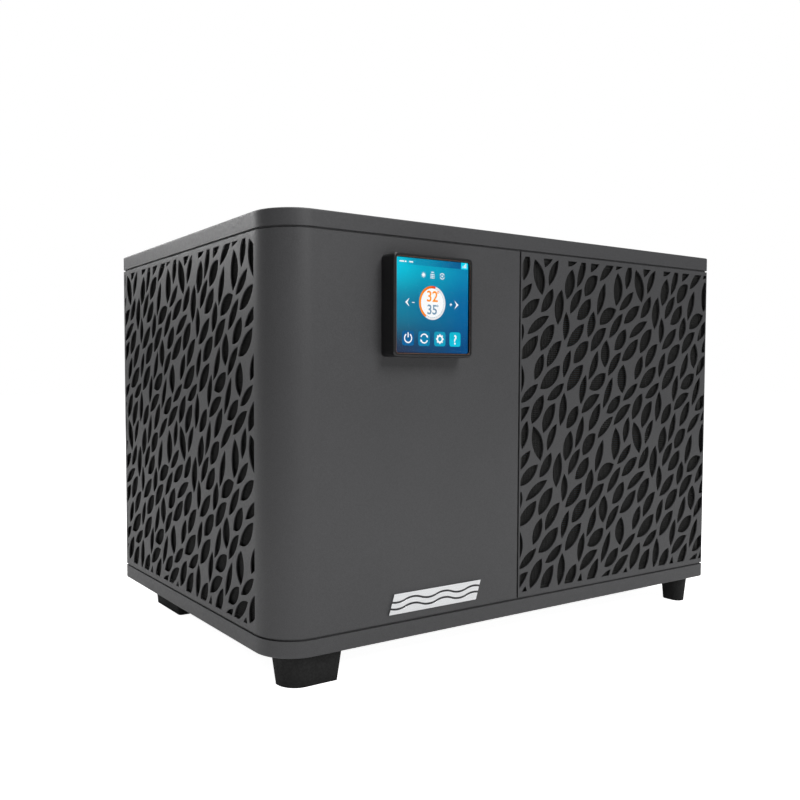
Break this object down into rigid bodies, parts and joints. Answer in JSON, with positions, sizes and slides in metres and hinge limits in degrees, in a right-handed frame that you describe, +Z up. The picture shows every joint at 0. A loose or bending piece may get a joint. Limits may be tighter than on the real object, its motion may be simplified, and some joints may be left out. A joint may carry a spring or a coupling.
{
  "type": "pool heat pump unit",
  "caption": "Box-shaped pool heat pump with leaf-perforated grilles, rounded corner, touch controller, rear water unions, fan, coil, compressor and exchanger inside.",
  "frame": {"origin": "on the ground, under the middle of the whole unit's box", "axes": "+X right along the front, +Y to the back where the water unions leave, +Z up"},
  "size_m": [0.65, 0.494, 0.453],
  "materials": {
    "cabinet_grey": "fine textured powder coat, dark grey, satin",
    "guard_black": "matt black coating",
    "galvanised_steel": "galvanised sheet",
    "foot_rubber": "moulded rubber",
    "screw_steel": "zinc plated",
    "badge_chrome": "bright chrome",
    "controller_black": "black moulded plastic, semi gloss",
    "bezel_metal": "anodised ring",
    "screen_glass": "clear cover glass",
    "screen_display": "lit display, blue gradient",
    "board_green": "circuit board",
    "fan_plastic": "moulded fan blades",
    "motor_black": "cast motor can",
    "fin_aluminium": "coated aluminium fins",
    "copper": "copper tube",
    "compressor_black": "black enamel",
    "steel_lamination": "laminations and casting",
    "fitting_plastic": "black nylon",
    "vessel_plastic": "dark grey pvc vessel",
    "titanium": "titanium tube",
    "union_plastic": "grey pvc fittings",
    "brass": "brass body",
    "gauge_steel": "stainless case",
    "needle_red": "red pointer",
    "gauge_clear": "clear front"
  },
  "bodies": {
    "cabinet": {"base_pan": "cabinet_grey", "lid": "cabinet_grey", "left_wrap_panel": "cabinet_grey", "front_grille_panel": "cabinet_grey", "right_grille_panel": "cabinet_grey", "rear_service_panel": "cabinet_grey", "rear_coil_guard": "guard_black", "front_screen": "guard_black", "side_screens": "guard_black", "fan_shroud": "guard_black", "inner_posts": "guard_black", "partition_panel": "galvanised_steel", "fan_bracket": "galvanised_steel", "electrical_box": "galvanised_steel", "electrical_cover": "galvanised_steel", "front_feet": "foot_rubber", "rear_feet": "foot_rubber", "compressor_grommets": "foot_rubber", "base_fasteners": "screw_steel", "cabinet_screws": "screw_steel", "fan_bearings": "screw_steel", "wave_badge": "badge_chrome", "controller_housing": "controller_black", "controller_bracket": "controller_black", "controller_bezel": "bezel_metal", "controller_glass": "screen_glass", "controller_display": "screen_display", "controller_board": "board_green", "control_board": "board_green", "fan_motor": "motor_black", "evaporator_coil": "fin_aluminium", "coil_copper": "copper", "refrigerant_pipes": "copper", "compressor_shell": "compressor_black", "accumulator": "compressor_black", "compressor_stator": "steel_lamination", "compressor_pump": "steel_lamination", "terminal_cover": "fitting_plastic", "flow_switch_body": "fitting_plastic", "cable_glands": "fitting_plastic", "drain_spigot": "fitting_plastic", "valve_solenoid": "fitting_plastic", "terminal_block": "fitting_plastic", "exchanger_shell": "vessel_plastic", "titanium_coil": "titanium", "water_inlet_union": "union_plastic", "water_outlet_union": "union_plastic", "reversing_valve": "brass", "expansion_valve": "brass", "gauge_body": "gauge_steel", "gauge_glass": "gauge_clear"},
    "fan_rotor": {"fan_impeller": "fan_plastic", "fan_shaft": "screw_steel", "fan_nut": "screw_steel"},
    "compressor_rotor_body": {"compressor_rotor": "screw_steel"},
    "flow_paddle_body": {"flow_paddle": "fitting_plastic"},
    "valve_slider_body": {"reversing_slider": "brass"},
    "gauge_needle_body": {"gauge_needle": "needle_red"},
    "inlet_nut_body": {"inlet_union_nut": "union_plastic"},
    "outlet_nut_body": {"outlet_union_nut": "union_plastic"}
  },
  "joints": [
    {"name": "fan_spin", "type": "hinge", "parent": "cabinet", "child": "fan_rotor", "pos_m": [0.148, -0.179, 0.243], "axis": [0, 1, 0], "continuous": true},
    {"name": "compressor_spin", "type": "hinge", "parent": "cabinet", "child": "compressor_rotor_body", "pos_m": [-0.222, -0.122, 0.052], "axis": [0, 0, 1], "continuous": true},
    {"name": "flow_paddle_swing", "type": "hinge", "parent": "cabinet", "child": "flow_paddle_body", "pos_m": [-0.222, 0.153, 0.358], "axis": [1, 0, 0], "range_deg": [0, 20], "stiffness_Nm_per_rad": 0.01},
    {"name": "reversing_slide", "type": "slide", "parent": "cabinet", "child": "valve_slider_body", "axis": [1, 0, 0], "range_m": [0, 0.012]},
    {"name": "gauge_needle_turn", "type": "hinge", "parent": "cabinet", "child": "gauge_needle_body", "pos_m": [-0.084, 0.196, 0.36], "axis": [0, -1, 0], "range_deg": [0, 270]},
    {"name": "inlet_nut_turn", "type": "hinge", "parent": "cabinet", "child": "inlet_nut_body", "pos_m": [-0.222, 0.217, 0.124], "axis": [0, 1, 0], "continuous": true},
    {"name": "outlet_nut_turn", "type": "hinge", "parent": "cabinet", "child": "outlet_nut_body", "pos_m": [-0.222, 0.217, 0.324], "axis": [0, 1, 0], "continuous": true}
  ]
}
